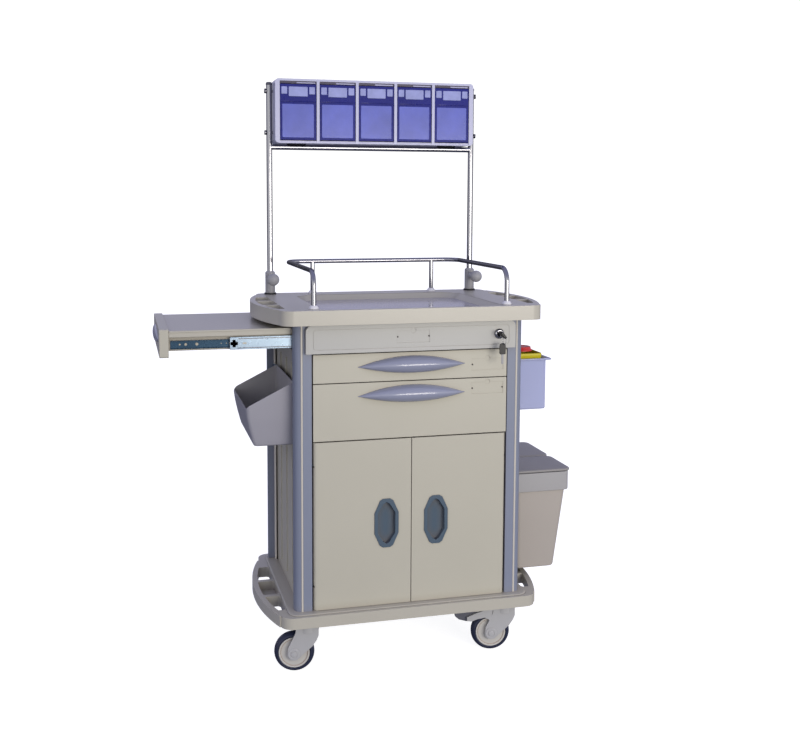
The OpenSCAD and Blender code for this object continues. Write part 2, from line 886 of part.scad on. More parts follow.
module sharps_container() {
    wall = 2;
    color([0.80, 0.72, 0.12]) placed() difference() {
        sharps_box(0, sharps_floor + 3, sharps_top);
        sharps_box(wall, sharps_floor + 3 + wall, sharps_top + 1);
    }
}

module sharps_lid() {
    r = 28;
    color([0.78, 0.16, 0.15]) placed()
        translate([sharps_lid_hinge_x - r, sharps_y0 + sharps_l / 2, sharps_top + 0.5]) {
            cylinder(h = 12, r1 = r, r2 = r - 4);
            block([0, -10, 0], [r, 10, 6]);
        }
}

// ---------------------------------------------------------------- casters

// The rear left caster trails the other way, as it may after the trolley has been turned
module at_caster(sx, y) {
    half_turn = sx < 0 && y == caster_y_rear ? 180 : 0;
    translate([sx * caster_x, y, 0]) rotate(caster_turn + half_turn) children();
}

module caster_stems() {
    color(steel) placed() for (sx = [-1, 1], y = [caster_y_front, caster_y_rear])
        at_caster(sx, y) {
            rod_z(0, 0, 104, base_top - tray_wall, stem_r);
            rod_z(0, 0, fork_top + 0.3, base_bottom, 22);
        }
}

// Side outline of a fork arm: X behind the swivel is negative, Z up
module arm_outline(braked) {
    axle_z = wheel_d / 2;
    translate([-caster_trail, axle_z]) circle(r = 16);
    polygon([[-50, axle_z], [-48, 66], [-38, 86], [-30, 104], [-27, fork_top], [27, fork_top],
             [27, 98], [22, 86], [12, 71], [-24, 37.5]]);
    if (braked)
        polygon([[-28, 119], [-45, 113], [-72, 104], [-97, 93], [-96, 83], [-84, 82],
                 [-70, 88], [-50, 92], [-36, 84]]);
}

module fork(sx, y, braked) {
    arm_t = 7;
    gap = wheel_w / 2 + 2;
    color([0.72, 0.72, 0.73]) placed() at_caster(sx, y) {
        difference() {
            union() {
                for (side = [-1, 1])
                    translate([0, side * (gap + arm_t / 2) + arm_t / 2, 0]) rotate([90, 0, 0])
                        linear_extrude(arm_t) arm_outline(braked);
                rod_z(0, 0, 104, fork_top, 27);
                if (braked) brake_arch(gap);
            }
            rod_z(0, 0, 100, fork_top + 1, stem_r + fit_gap);
        }
        rod_y(-caster_trail, -gap - arm_t - 1, gap + arm_t + 1, wheel_d / 2, axle_r);
    }
}

// Web over the wheel between the two arms, and the pin of the brake pedal at their tips
module brake_arch(gap) {
    rotate([90, 0, 0]) translate([0, 0, -gap - 4]) linear_extrude(2 * gap + 8)
        polygon([[-20, fork_top], [-60, fork_top - 3], [-72, 118], [-72, 106], [-45, 113],
                 [-24, 106]]);
    rod_y(brake_x, -gap - 1, gap + 1, brake_z, brake_pin_r);
}

module wheel(sx, y) {
    r = wheel_d / 2;
    w = wheel_w / 2;
    color([0.16, 0.18, 0.27]) placed() at_caster(sx, y)
        translate([-caster_trail, 0, r]) rotate([90, 0, 0]) rotate_extrude($fn = 96)
            polygon([[axle_r + fit_gap, -w - 1], [14, -w - 1], [14, -w + 3], [34, -w + 3],
                     [37, -w + 1], [44, -w + 1], [48, -w + 5], [r, -w + 11],
                     [r, w - 11], [48, w - 5], [44, w - 1], [37, w - 1],
                     [34, w - 3], [14, w - 3], [14, w + 1], [axle_r + fit_gap, w + 1]]);
}

// Brake pedal between the tips of the fork's arms
module pedal(sx, y) {
    w = wheel_w + 2;
    color(dark_grey) placed() at_caster(sx, y) difference() {
        rotate([90, 0, 0]) translate([0, 0, -w / 2]) linear_extrude(w)
            polygon([[-74, 117], [-100, 106], [-116, 101], [-124, 101.5], [-131, 104],
                     [-127, 93], [-117, 84.5], [-99, 80], [-88, 79], [-81, 87], [-75, 104]]);
        rod_y(brake_x, -w / 2 - 1, w / 2 + 1, brake_z, brake_pin_r + fit_gap);
    }
}

// ---------------------------------------------------------------- nodes

module shallow_drawer_box() { drawer_box(730, 784, 752); }
module shallow_drawer_front() { drawer_front(deep_top + 2.5, shallow_top, 757); }
module shallow_drawer_handle() { drawer_handle(761); }
module deep_drawer_box() { drawer_box(590, 706, 640); }
module deep_drawer_front() { drawer_front(door_top + 3, deep_top, 697); }
module deep_drawer_handle() { drawer_handle(689); }

base_tray();
corner_columns();
side_panels();
back_panel();
cabinet_decks();
inner_shelf();
top_tray();
worktop_mat();
fascia();
guard_rail();
post_clamps();
slide_cases();
lock_housing();
door_hinges();
utility_bin();
side_brackets();
waste_bins();
sharps_holder();
caster_stems();
shallow_drawer_box();
shallow_drawer_front();
shallow_drawer_handle();
deep_drawer_box();
deep_drawer_front();
deep_drawer_handle();
shelf_board();
shelf_end_cap();
shelf_grip();
shelf_runners();
shelf_middle_slides();
door_left();
door_left_handle();
door_right();
door_right_handle();
lock_plug();
front_key();
rack_frame();
bin_housing();
tilt_bin(1);  // tilt_bin_1
tilt_bin(2);  // tilt_bin_2
tilt_bin(3);  // tilt_bin_3
tilt_bin(4);  // tilt_bin_4
tilt_bin(5);  // tilt_bin_5
knob(-1);  // knob_left
knob(1);  // knob_right
waste_lid(0);  // waste_lid_front
waste_lid(1);  // waste_lid_rear
sharps_container();
sharps_lid();
fork(-1, caster_y_front, false);  // fork_front_left
fork(1, caster_y_front, true);  // fork_front_right
fork(-1, caster_y_rear, true);  // fork_rear_left
fork(1, caster_y_rear, false);  // fork_rear_right
wheel(-1, caster_y_front);  // wheel_front_left
wheel(1, caster_y_front);  // wheel_front_right
wheel(-1, caster_y_rear);  // wheel_rear_left
wheel(1, caster_y_rear);  // wheel_rear_right
pedal(1, caster_y_front);  // pedal_front_right
pedal(-1, caster_y_rear);  // pedal_rear_left
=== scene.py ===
import json
import math

import bmesh
import bpy
from mathutils import Matrix, Vector


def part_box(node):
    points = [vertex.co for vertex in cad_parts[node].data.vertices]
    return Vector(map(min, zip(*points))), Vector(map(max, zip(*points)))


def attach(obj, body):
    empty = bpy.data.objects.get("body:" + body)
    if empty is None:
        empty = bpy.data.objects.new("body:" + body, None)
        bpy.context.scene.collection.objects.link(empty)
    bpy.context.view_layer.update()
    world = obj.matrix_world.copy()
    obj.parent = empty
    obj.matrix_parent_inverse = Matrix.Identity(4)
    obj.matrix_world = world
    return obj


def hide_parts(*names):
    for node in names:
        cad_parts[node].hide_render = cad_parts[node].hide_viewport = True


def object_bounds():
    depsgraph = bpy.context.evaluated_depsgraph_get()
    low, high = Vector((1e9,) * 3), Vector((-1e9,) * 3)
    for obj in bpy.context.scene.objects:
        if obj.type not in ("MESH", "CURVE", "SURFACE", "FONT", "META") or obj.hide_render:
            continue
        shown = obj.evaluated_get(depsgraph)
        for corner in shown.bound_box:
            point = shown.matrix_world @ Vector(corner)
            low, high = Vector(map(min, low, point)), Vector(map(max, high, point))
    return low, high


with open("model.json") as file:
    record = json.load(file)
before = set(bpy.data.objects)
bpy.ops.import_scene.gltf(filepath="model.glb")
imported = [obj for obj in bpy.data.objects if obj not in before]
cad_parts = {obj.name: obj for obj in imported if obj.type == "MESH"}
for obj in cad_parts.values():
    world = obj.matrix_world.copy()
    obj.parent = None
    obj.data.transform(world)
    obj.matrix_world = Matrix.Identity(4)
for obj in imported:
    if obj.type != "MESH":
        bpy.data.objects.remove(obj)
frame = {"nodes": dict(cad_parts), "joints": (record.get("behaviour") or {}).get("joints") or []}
cad_low, cad_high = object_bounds()
NODES = frame["nodes"]
JOINTS = {joint["name"]: joint for joint in frame["joints"]}
MM = 0.001
CORNERS = ("front_left", "front_right", "rear_left", "rear_right")
BINS = range(1, 6)

# Cabinet coordinates: millimetres, X from the middle of the cabinet, Y from the door face
MIDDLE_X = sum((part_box("fascia")[i].x for i in (0, 1))) / 2
DOOR_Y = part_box("door_right")[0].y


def place(x, y, z):
    return Vector((MIDDLE_X + x * MM, DOOR_Y + y * MM, z * MM))


def in_cabinet(point):
    return Vector(((point[0] - MIDDLE_X) / MM, (point[1] - DOOR_Y) / MM, point[2] / MM))


def cabinet_box(node):
    low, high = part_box(node)
    return in_cabinet(low), in_cabinet(high)


# ------------------------------------------------------------------ materials


def shader(name):
    material = bpy.data.materials.new(name)
    material.use_nodes = True
    nodes = material.node_tree.nodes
    return material, nodes, material.node_tree.links, nodes["Principled BSDF"]


def noise(nodes, links, scale, detail, stretch=(1, 1, 1)):
    where = nodes.new("ShaderNodeTexCoord")
    mapping = nodes.new("ShaderNodeMapping")
    mapping.inputs["Scale"].default_value = stretch
    texture = nodes.new("ShaderNodeTexNoise")
    texture.inputs["Scale"].default_value = scale
    texture.inputs["Detail"].default_value = detail
    links.new(where.outputs["Object"], mapping.inputs["Vector"])
    links.new(mapping.outputs["Vector"], texture.inputs["Vector"])
    return texture.outputs["Fac"]


def shade_of(colour, factor):
    return (*[min(1.0, channel * factor) for channel in colour], 1.0)


# Brown tone of the painted shade in crevices; NOOK_SIZE is how far the occlusion reaches.
CREVICE_SHADE_TONE = (0.20, 0.15, 0.11)
NOOK_SIZE = 0.02


def surface(name, colour, roughness, metallic=0.0, mottle=0.035, mottle_scale=5.0, smear=0.06,
            grain=0.00006, grain_scale=900.0, stretch=(1, 1, 1), crevice_shade=0.0, coat=0.0,
            transmission=0.0, ior=1.47, edge_tint=1.0):
    """A moulded, painted or metal surface with cloudy colour, uneven gloss and a fine grain, and,
    if asked, painted shade in its crevices.
    """
    material, nodes, links, principled = shader(name)
    principled.inputs["Metallic"].default_value = metallic
    principled.inputs["Coat Weight"].default_value = coat
    principled.inputs["Coat Roughness"].default_value = 0.12
    principled.inputs["Transmission Weight"].default_value = transmission
    principled.inputs["IOR"].default_value = ior
    principled.inputs["Specular Tint"].default_value = (edge_tint, edge_tint, edge_tint, 1.0)
    cloud = noise(nodes, links, mottle_scale, 4.0)
    tint = nodes.new("ShaderNodeMix")
    tint.data_type = "RGBA"
    tint.inputs["A"].default_value = shade_of(colour, 1 - mottle)
    tint.inputs["B"].default_value = shade_of(colour, 1 + mottle)
    links.new(cloud, tint.inputs["Factor"])
    shade = tint.outputs["Result"]
    # Painted shade: ambient occlusion darkens crevices and nooks towards a brown tone, by the given
    # share.
    if crevice_shade:
        nook = nodes.new("ShaderNodeAmbientOcclusion")
        nook.inputs["Distance"].default_value = NOOK_SIZE
        nook.samples = 6
        crevice_darkening = nodes.new("ShaderNodeMix")
        crevice_darkening.data_type = "RGBA"
        crevice_darkening.inputs["A"].default_value = shade_of(CREVICE_SHADE_TONE, 1.0)
        keep = nodes.new("ShaderNodeMapRange")
        keep.inputs["To Min"].default_value = 1 - crevice_shade
        links.new(nook.outputs["AO"], keep.inputs["Value"])
        links.new(keep.outputs["Result"], crevice_darkening.inputs["Factor"])
        links.new(shade, crevice_darkening.inputs["B"])
        shade = crevice_darkening.outputs["Result"]
    links.new(shade, principled.inputs["Base Color"])
    gloss = nodes.new("ShaderNodeMapRange")
    gloss.inputs["To Min"].default_value = max(0.02, roughness - smear)
    gloss.inputs["To Max"].default_value = min(1.0, roughness + smear)
    links.new(noise(nodes, links, mottle_scale * 7, 6.0, stretch), gloss.inputs["Value"])
    links.new(gloss.outputs["Result"], principled.inputs["Roughness"])
    bump = nodes.new("ShaderNodeBump")
    bump.inputs["Distance"].default_value = grain
    bump.inputs["Strength"].default_value = 0.7
    links.new(noise(nodes, links, grain_scale, 2.0, stretch), bump.inputs["Height"])
    links.new(bump.outputs["Normal"], principled.inputs["Normal"])
    return material


CREAM = surface("cream_abs", (0.480, 0.462, 0.388), 0.36, smear=0.02, crevice_shade=0.55, coat=0.08)
DECK_CREAM = surface("cream_deck", (0.470, 0.450, 0.388), 0.32, smear=0.015, crevice_shade=0.55, coat=0.08)
STRIP = surface("cream_strip", (0.58, 0.55, 0.49), 0.35)
FASCIA_GREY = surface("grey_abs", (0.440, 0.440, 0.425), 0.36, smear=0.02, crevice_shade=0.4, coat=0.08)
LINER = surface("liner_grey", (0.50, 0.50, 0.49), 0.45)
SLATE = surface("slate_coat", (0.210, 0.235, 0.315), 0.40, crevice_shade=0.3, stretch=(1, 1, 0.05))
HANDLE = surface("handle_slate", (0.270, 0.288, 0.390), 0.20, coat=0.5)
CUP = surface("door_cup", (0.062, 0.098, 0.140), 0.45, crevice_shade=0.6)
# Painted light: the worktop's cream, tinted and darkened to the lavender cast that light from above
# gives it.
LAVENDER_TOPLIT_TINT = surface("worktop_toplit_lavender", (0.330, 0.320, 0.390), 0.16, mottle=0.02, smear=0.04, coat=0.3)
CHROME = surface("polished_tube", (0.33, 0.33, 0.36), 0.14, metallic=1.0, mottle=0.04,
                 smear=0.03, grain=0.0, edge_tint=0.25)
ZINC = surface("zinc_plate", (0.33, 0.42, 0.52), 0.30, metallic=0.9, mottle=0.12,
               mottle_scale=22.0, smear=0.12)
DARK_ZINC = surface("dark_zinc", (0.035, 0.075, 0.125), 0.28, metallic=0.75, mottle=0.25,
                    mottle_scale=30.0)
WHITE = surface("white_cap", (0.70, 0.70, 0.74), 0.40)
CLAMP = surface("clamp_grey", (0.330, 0.330, 0.350), 0.42, crevice_shade=0.4)
BLACK = surface("black_plastic", (0.012, 0.012, 0.014), 0.40)
UTILITY = surface("utility_grey", (0.300, 0.296, 0.340), 0.42, grain=0.0001)
UTILITY_INSIDE = surface("utility_inside", (0.380, 0.370, 0.400), 0.55)
WASTE = surface("waste_beige", (0.430, 0.393, 0.355), 0.45, grain=0.0001)
WASTE_RIM = surface("waste_rim", (0.383, 0.377, 0.380), 0.42)
WASTE_LID = surface("waste_lid", (0.270, 0.260, 0.255), 0.40, grain=0.0001)
SHARPS_FRAME = surface("sharps_frame", (0.490, 0.530, 0.800), 0.22, transmission=0.15, coat=0.3)
YELLOW = surface("sharps_yellow", (0.560, 0.480, 0.010), 0.32)
RED = surface("sharps_red", (0.560, 0.030, 0.028), 0.30)
HOUSING = surface("housing_pale", (0.530, 0.540, 0.730), 0.30, coat=0.2, crevice_shade=0.3)
BIN_BLUE = surface("bin_blue", (0.018, 0.022, 0.230), 0.28, mottle=0.25, mottle_scale=9.0,
                   transmission=0.10, edge_tint=0.3)
WINDOW_BLUE = surface("bin_window", (0.090, 0.115, 0.520), 0.24, mottle=0.34, mottle_scale=16.0,
                      coat=0.15)
TAB_BLUE = surface("bin_tab", (0.300, 0.330, 0.660), 0.16, mottle=0.30, mottle_scale=40.0,
                   coat=0.5)
FORK = surface("fork_grey", (0.440, 0.440, 0.450), 0.35, crevice_shade=0.35)
RIM = surface("wheel_rim", (0.560, 0.545, 0.510), 0.36, crevice_shade=0.3)
RIM_RING = surface("rim_ring", (0.43, 0.33, 0.26), 0.5)
TYRE = surface("tyre_navy", (0.016, 0.021, 0.050), 0.38, grain=0.00012, grain_scale=500.0)
PEDAL = surface("pedal_grey", (0.105, 0.108, 0.135), 0.5)
# Pale lavender of the bin sills; the same colour is the painted highlight strip at the top of each
# cell.
SILL_AND_HIGHLIGHT_LAVENDER = surface("sill_and_painted_highlight", (0.420, 0.420, 0.600), 0.2, mottle=0.3, mottle_scale=20.0, coat=0.5)
# Painted shadow: near-black violet for the strip under the top of each bin cell.
TOP_SHADOW_VIOLET = surface("painted_top_shadow_violet", (0.030, 0.022, 0.070), 0.4)
SCREW = surface("dark_screw", (0.045, 0.040, 0.045), 0.4, metallic=0.6)
BRASS_DOT = surface("slide_slot", (0.50, 0.46, 0.37), 0.6)


def round_edges(thing, width, segments, angle):
    """Bevels the edges sharper than angle, in degrees; width is in millimetres."""
    edge = thing.modifiers.new("edge", "BEVEL")
    edge.width = width * MM
    edge.segments = segments
    edge.limit_method = "ANGLE"
    edge.angle_limit = math.radians(angle)
    edge.harden_normals = True
    return edge


def even_shading(thing):
    shading = thing.modifiers.new("shading", "WEIGHTED_NORMAL")
    shading.keep_sharp = True
    return shading


def finish_node(name, material, bevel=1.0, dissolve=True):
    """Gives a CAD node its material and, unless bevel is None, round edges and clean shading."""
    node = NODES[name]
    node.data.materials.clear()
    node.data.materials.append(material)
    if bevel is None:
        return
    for polygon in node.data.polygons:
        polygon.use_smooth = True
    weld = node.modifiers.new("weld", "WELD")
    weld.merge_threshold = 0.00001
    if dissolve:
        flat = node.modifiers.new("flat", "DECIMATE")
        flat.decimate_type = "DISSOLVE"
        flat.angle_limit = math.radians(0.3)
    round_edges(node, bevel, 3, 28).miter_outer = "MITER_ARC"
    even_shading(node).weight = 80


NODE_LOOKS = {
    "base_tray": (DECK_CREAM, 3.0), "top_tray": (DECK_CREAM, 3.0),
    "side_panels": (CREAM, 0.8), "back_panel": (CREAM, 0.8),
    "corner_columns": (SLATE, 0.6), "cabinet_decks": (LINER, 0.6), "inner_shelf": (LINER, 1.5),
    "worktop_mat": (LAVENDER_TOPLIT_TINT, None), "fascia": (FASCIA_GREY, 1.2), "guard_rail": (CHROME, 0.3),
    "post_clamps": (CLAMP, 1.2), "slide_cases": (ZINC, 0.3), "lock_housing": (CHROME, 0.8),
    "door_hinges": (ZINC, 0.3), "side_brackets": (ZINC, 0.6), "caster_stems": (ZINC, 0.5),
    "shallow_drawer_box": (LINER, 0.8), "deep_drawer_box": (LINER, 0.8),
    "shallow_drawer_front": (CREAM, 1.2), "deep_drawer_front": (CREAM, 1.2),
    "shelf_board": (DECK_CREAM, 1.2), "shelf_end_cap": (CREAM, 2.0),
    "shelf_runners": (DARK_ZINC, 0.3), "shelf_middle_slides": (ZINC, 0.3),
    "door_left": (CREAM, 1.2), "door_right": (CREAM, 1.2),
    "door_left_handle": (CUP, 1.0), "door_right_handle": (CUP, 1.0),
    "lock_plug": (CHROME, 0.5), "front_key": (BLACK, 0.6), "rack_frame": (CHROME, 0.3),
    "bin_housing": (HOUSING, 1.0, False), "knob_left": (CLAMP, 1.0), "knob_right": (CLAMP, 1.0),
    "pedal_front_right": (PEDAL, 1.5), "pedal_rear_left": (PEDAL, 1.5),
}
for number in BINS:
    NODE_LOOKS[f"tilt_bin_{number}"] = (BIN_BLUE, 0.8)
for corner in CORNERS:
    NODE_LOOKS[f"fork_{corner}"] = (FORK, 2.2)
for node_name, look in NODE_LOOKS.items():
    finish_node(node_name, *look)


# ------------------------------------------------------------------ mesh tools


def add_piece(name, shape, material, body, bevel=0.0, segments=3, replaces=()):
    """Turns a bmesh, in cabinet millimetres, into a finished piece on a body."""
    bmesh.ops.recalc_face_normals(shape, faces=shape.faces)
    mesh = bpy.data.meshes.new(name)
    shape.to_mesh(mesh)
    shape.free()
    mesh.transform(Matrix.Translation(place(0, 0, 0)) @ Matrix.Scale(MM, 4))
    thing = bpy.data.objects.new(name, mesh)
    bpy.context.scene.collection.objects.link(thing)
    mesh.materials.append(material)
    for polygon in mesh.polygons:
        polygon.use_smooth = True
    if bevel:
        round_edges(thing, bevel, segments, 30)
    even_shading(thing)
    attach(thing, body)
    if replaces:
        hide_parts(*replaces)
    return thing


def loft(rings, closed_ends=True, shape=None):
    """Skins a list of rings, which all have the same number of points."""
    shape = shape or bmesh.new()
    rows = [[shape.verts.new(point) for point in ring] for ring in rings]
    count = len(rows[0])
    for row, above in zip(rows, rows[1:]):
        for i in range(count):
            j = (i + 1) % count
            shape.faces.new((row[i], row[j], above[j], above[i]))
    if closed_ends:
        shape.faces.new(reversed(rows[0]))
        shape.faces.new(rows[-1])
    return shape


def loft_closed(rings):
    """Skins a list of rings and joins the last ring to the first."""
    shape = loft(rings, closed_ends=False)
    count = len(rings[0])
    verts = list(shape.verts)
    first, last = verts[:count], verts[-count:]
    for i in range(count):
        j = (i + 1) % count
        shape.faces.new((last[i], last[j], first[j], first[i]))
    return shape


def lathe(profile, centre, axis, steps=64, shape=None):
    """Turns a profile of (radius, height) round an axis; it ends there or closes on itself."""
    turn = Vector(axis).normalized().to_track_quat("Z", "Y").to_matrix()
    shape = shape or bmesh.new()
    rows = []
    for radius, height in profile:
        if radius <= 1e-6:
            rows.append([shape.verts.new(Vector(centre) + turn @ Vector((0, 0, height)))])
            continue
        rows.append([
            shape.verts.new(Vector(centre) + turn @ Vector((
                radius * math.cos(2 * math.pi * k / steps),
                radius * math.sin(2 * math.pi * k / steps), height)))
            for k in range(steps)
        ])
    loops = list(zip(rows, rows[1:]))
    if len(rows[0]) > 1 and len(rows[-1]) > 1:
        loops.append((rows[-1], rows[0]))
    for low, high in loops:
        for k in range(steps):
            corner = [low[k % len(low)], low[(k + 1) % len(low)],
                      high[(k + 1) % len(high)], high[k % len(high)]]
            face = list(dict.fromkeys(corner))
            if len(face) > 2:
                shape.faces.new(face)
    return shape


def arc(centre, radius, start, end, steps):
    """Points on an arc, in degrees, as (x, y)."""
    return [
        (centre[0] + radius * math.cos(math.radians(start + (end - start) * k / steps)),
         centre[1] + radius * math.sin(math.radians(start + (end - start) * k / steps)))
        for k in range(steps + 1)
    ]


def rounded(x0, y0, x1, y1, radius, steps=6):
    """Outline of a rectangle with round corners; radius may be one number or four."""
    radii = radius if isinstance(radius, tuple) else (radius,) * 4
    corners = [(x0, y0, 180), (x1, y0, 270), (x1, y1, 0), (x0, y1, 90)]
    outline = []
    for (x, y, start), r in zip(corners, radii):
        centre = (x + r if x == x0 else x - r, y + r if y == y0 else y - r)
        outline += arc(centre, r, start, start + 90, steps)
    return outline


def flat_ring(outline, z):
    return [Vector((x, y, z)) for x, y in outline]


def facing_ring(outline, y):
    return [Vector((x, y, z)) for x, z in outline]


def plate_facing(x0, z0, x1, z1, y_front, y_back, radius):
    """A plate that faces the front, with round corners."""
    outline = rounded(x0, z0, x1, z1, radius)
    return loft([facing_ring(outline, y_back), facing_ring(outline, y_front)])


def open_box(outer, inner):
    """A box with an open top: rings up the outside, then down the inside."""
    return loft(outer + list(reversed(inner)))


# ------------------------------------------------------------------ casters

WHEEL_RADIUS, WHEEL_WIDTH = 50.0, 30.0
FORK_OUTSIDE = 24.0


def make_wheel(corner):
    joint = JOINTS[f"roll_{corner}"]
    body = f"wheel_{corner}"
    centre = in_cabinet(joint["pos_m"])
    axis = Vector(joint["axis"])
    radius, half = WHEEL_RADIUS, WHEEL_WIDTH / 2
    tread = [(radius - 5 + 5 * math.cos(math.radians(a)), 10 * math.sin(math.radians(a)))
             for a in range(-80, 81, 10)]
    tyre = [(38.5, -half + 1.5), (43, -half + 1)] + tread + [(43, half - 1), (38.5, half - 1.5)]
    add_piece(f"tyre_{corner}", lathe(tyre, centre, axis, 96), TYRE, body,
              replaces=(f"wheel_{corner}",))
    face = [(5.2, half), (13, half), (14.5, half - 2), (31, half - 3.4), (33.4, half - 3.2),
            (34.4, half - 1.2), (37.6, half - 1), (38.8, half - 2.4)]
    rim = [(r, -h) for r, h in face] + [(r, h) for r, h in reversed(face)]
    add_piece(f"rim_{corner}", lathe(rim, centre, axis, 96), RIM, body, 0.4, 2)
    rings = bmesh.new()
    for sign in (-1, 1):
        line = [(32.6, sign * (half - 3.6)), (33.7, sign * (half - 3.6)),
                (33.7, sign * (half - 2.6)), (32.6, sign * (half - 2.6))]
        lathe(line, centre, axis, 96, rings)
    add_piece(f"rim_line_{corner}", rings, RIM_RING, body)


def make_fork_caps(corner):
    """Round bosses with a small cap at the ends of the axle."""
    joint = JOINTS[f"roll_{corner}"]
    centre = in_cabinet(joint["pos_m"])
    axis = Vector(joint["axis"])
    bosses = bmesh.new()
    profile = ((0, 0), (15, 0), (14, 1.4), (9.5, 1.6), (9, 1.0), (7.5, 1.0), (7, 2.4), (5.5, 2.9),
               (0, 3.0))
    for sign in (-1, 1):
        boss = [(r, sign * (FORK_OUTSIDE + proud)) for r, proud in profile]
        lathe(boss, centre, axis, 48, bosses)
    add_piece(f"axle_caps_{corner}", bosses, FORK, f"fork_{corner}", 0.3, 2)


for corner in CORNERS:
    make_wheel(corner)
    make_fork_caps(corner)


# ------------------------------------------------------------------ columns and trays

COLUMN_LOW, COLUMN_HIGH = cabinet_box("corner_columns")
COLUMN_WIDTH = 52
FRONT_GROOVE, REAR_GROOVE = 22, 26  # from a column's inner side
TRAY_LOW, TRAY_HIGH = cabinet_box("top_tray")
RAIL_RADIUS = 11
BASE_TOP = cabinet_box("base_tray")[1].z


def column_strips():
    """Cream strips set in the grooves of the four columns."""
    strips = bmesh.new()
    inner = COLUMN_HIGH.x - COLUMN_WIDTH
    for sx in (-1, 1):
        for face, out, start in ((COLUMN_LOW.y, -1, FRONT_GROOVE),
                                 (COLUMN_HIGH.y, 1, REAR_GROOVE)):
            section = [(start + x, rise) for x, rise in
                       ((0.2, -0.9), (0.4, 0.3), (2.5, 0.9), (4.6, 0.3), (4.8, -0.9))]
            rings = [
                [Vector((sx * (inner + x), face + out * rise, z)) for x, rise in section]
                for z in (COLUMN_LOW.z + 0.2, TRAY_LOW.z + 3)
            ]
            loft(rings, shape=strips)
    add_piece("column_strips", strips, STRIP, "cabinet")


def panel_trims():
    """Cream half-round trims where the side panels meet the rear columns."""
    trims = bmesh.new()
    panel_x = cabinet_box("side_panels")[1].x
    rear_y = COLUMN_HIGH.y - 32
    for sx, top in ((-1, cabinet_box("fascia")[0].z - 8), (1, TRAY_LOW.z)):
        section = [(-16, 0)] + arc((-8, 0), 8, 180, 0, 8)[1:]
        rings = [
            [Vector((sx * (panel_x + 0.2 + max(0, rise) * 0.6), rear_y + y, z))
             for y, rise in section]
            for z in (BASE_TOP, top)
        ]
        loft(rings, shape=trims)
    add_piece("panel_trims", trims, STRIP, "cabinet")


def recess_slope():
    """Sloping walls of the worktop recess."""
    mat_low, mat_high = cabinet_box("worktop_mat")
    edge, chamfer = 3.0, 42.0

    def outline(inset):
        x = mat_high.x + edge - inset
        front, back = mat_low.y - edge + inset, mat_high.y + edge - inset
        cut = chamfer - inset * 0.6
        r = 16 - inset * 0.3
        return (arc((-x + r, front + r), r, 180, 270, 6) + arc((x - r, front + r), r, 270, 360, 6)
                + [(x, back - cut), (x - cut, back), (-x + cut, back), (-x, back - cut)])

    top, low = TRAY_HIGH.z, mat_high.z
    rings = [flat_ring(outline(0.1), low - 1), flat_ring(outline(0.1), top - 0.4),
             flat_ring(outline(1.5), top - 1.2), flat_ring(outline(15), low + 2.0),
             flat_ring(outline(18), low + 0.3), flat_ring(outline(18), low - 1)]
    add_piece("recess_slope", loft_closed(rings), DECK_CREAM, "cabinet")


def base_plinth():
    """Low pad on the base tray round the cabinet."""
    half, front, back, corner = 311, -19, 430, 26
    rings = [flat_ring(rounded(-half + i, front + i, half - i, back - i, corner), BASE_TOP + rise)
             for i, rise in ((0, -0.5), (1.5, 1.6), (4, 2.4))]
    add_piece("base_plinth", loft(rings), DECK_CREAM, "cabinet")


def rail_collars():
    """White collars under the legs of the guard rail, and black washers under the clamps."""
    rail_high = cabinet_box("guard_rail")[1]
    z = TRAY_HIGH.z
    front_x, back_x = rail_high.x - RAIL_RADIUS, 173
    back_y = rail_high.y - RAIL_RADIUS
    collars = bmesh.new()
    for x, y in ((front_x, 0), (-front_x, 0), (back_x, back_y), (-back_x, back_y)):
        ring = [(6.2, z - 0.5), (12.0, z - 0.5), (12.2, z + 1.5), (11.0, z + 4.6),
                (8.6, z + 7.4), (7.2, z + 9.0), (6.2, z + 9.0)]
        lathe(ring, (x, y, 0), (0, 0, 1), 48, collars)
    add_piece("rail_collars", collars, WHITE, "cabinet")
    washers = bmesh.new()
    knob = in_cabinet(JOINTS["knob_right_turn"]["pos_m"])
    post_y = cabinet_box("post_clamps")[1].y - 16
    for sx in (-1, 1):
        ring = [(13.8, z - 0.2), (16.6, z - 0.2), (16.6, z + 3.6), (15.8, z + 4.4),
                (13.8, z + 4.4)]
        lathe(ring, (sx * knob.x, post_y, 0), (0, 0, 1), 48, washers)
    add_piece("clamp_washers", washers, BLACK, "cabinet")


column_strips()
panel_trims()
recess_slope()
base_plinth()
rail_collars()


# ------------------------------------------------------------------ handles and locks


def boat_handle(name, node, body, centre, half, rise, fall, proud, facing):
    """Boat-shaped pull: a domed shell, pointed at both ends and open underneath."""
    wall = 3.5
    rings = []
    steps = 40
    for k in range(steps + 1):
        along = -half + 2 * half * k / steps
        fullness = max(0.03, 1 - (along / half) ** 2)
        middle = (rise - fall) / 2 * fullness
        height = (rise + fall) / 2 * fullness
        depth = proud * fullness ** 0.85
        thick = min(wall, height * 0.35, depth * 0.35)
        ring = []
        for a in range(0, 153, 8):
            turn = math.radians(a)
            ring.append((-depth * math.sin(turn), middle + height * math.cos(turn)))
        for a in range(152, 7, -8):
            turn = math.radians(a)
            ring.append((-(depth - thick) * math.sin(turn) * 0.99 - 0.05,
                         middle + (height - thick) * math.cos(turn)))
        ring.append((-0.05, middle + height - thick))
        rings.append([centre + facing(along, out, up) for out, up in ring])
    add_piece(name, loft(rings), HANDLE, body, replaces=(node,))


